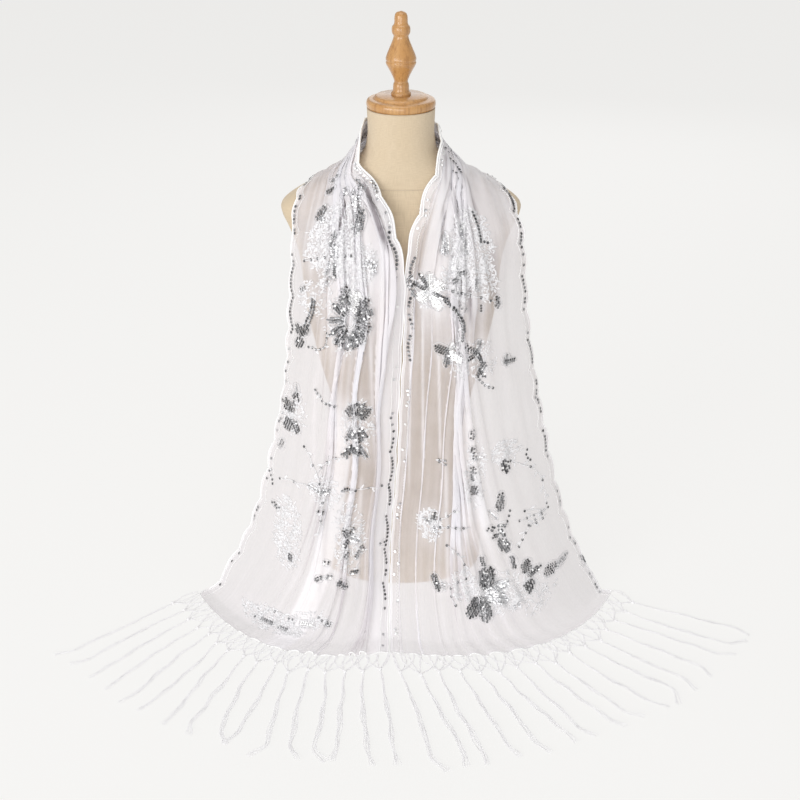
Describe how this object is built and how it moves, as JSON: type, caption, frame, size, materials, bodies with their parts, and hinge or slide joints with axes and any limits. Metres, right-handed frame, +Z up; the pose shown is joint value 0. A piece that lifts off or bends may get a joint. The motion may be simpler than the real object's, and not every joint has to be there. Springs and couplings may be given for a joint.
{
  "type": "evening stole on a limbless dress form",
  "caption": "Sheer net evening stole with sequins and knotted fringe, draped round the neck of a limbless linen dress form with a turned wood cap.",
  "frame": {"origin": "centre of the dress form's flat base, on the surface that it stands on", "axes": "+Z up through the neck, -Y the front, +X to the right as seen from the front"},
  "size_m": [1.0698, 0.6451, 0.9021],
  "materials": {
    "linen": "plain linen cover, matt",
    "wood": "turned and varnished, satin",
    "net": "sheer soft net with embroidery and sequins",
    "fringe": "twisted yarn, satin"
  },
  "bodies": {
    "root": {"form_body": "linen", "cap_plate": "wood", "finial": "wood", "stole_front_left": "net", "stole_neck_wrap": "net", "stole_front_right": "net", "fringe_left": "fringe", "fringe_right": "fringe"}
  },
  "joints": []
}
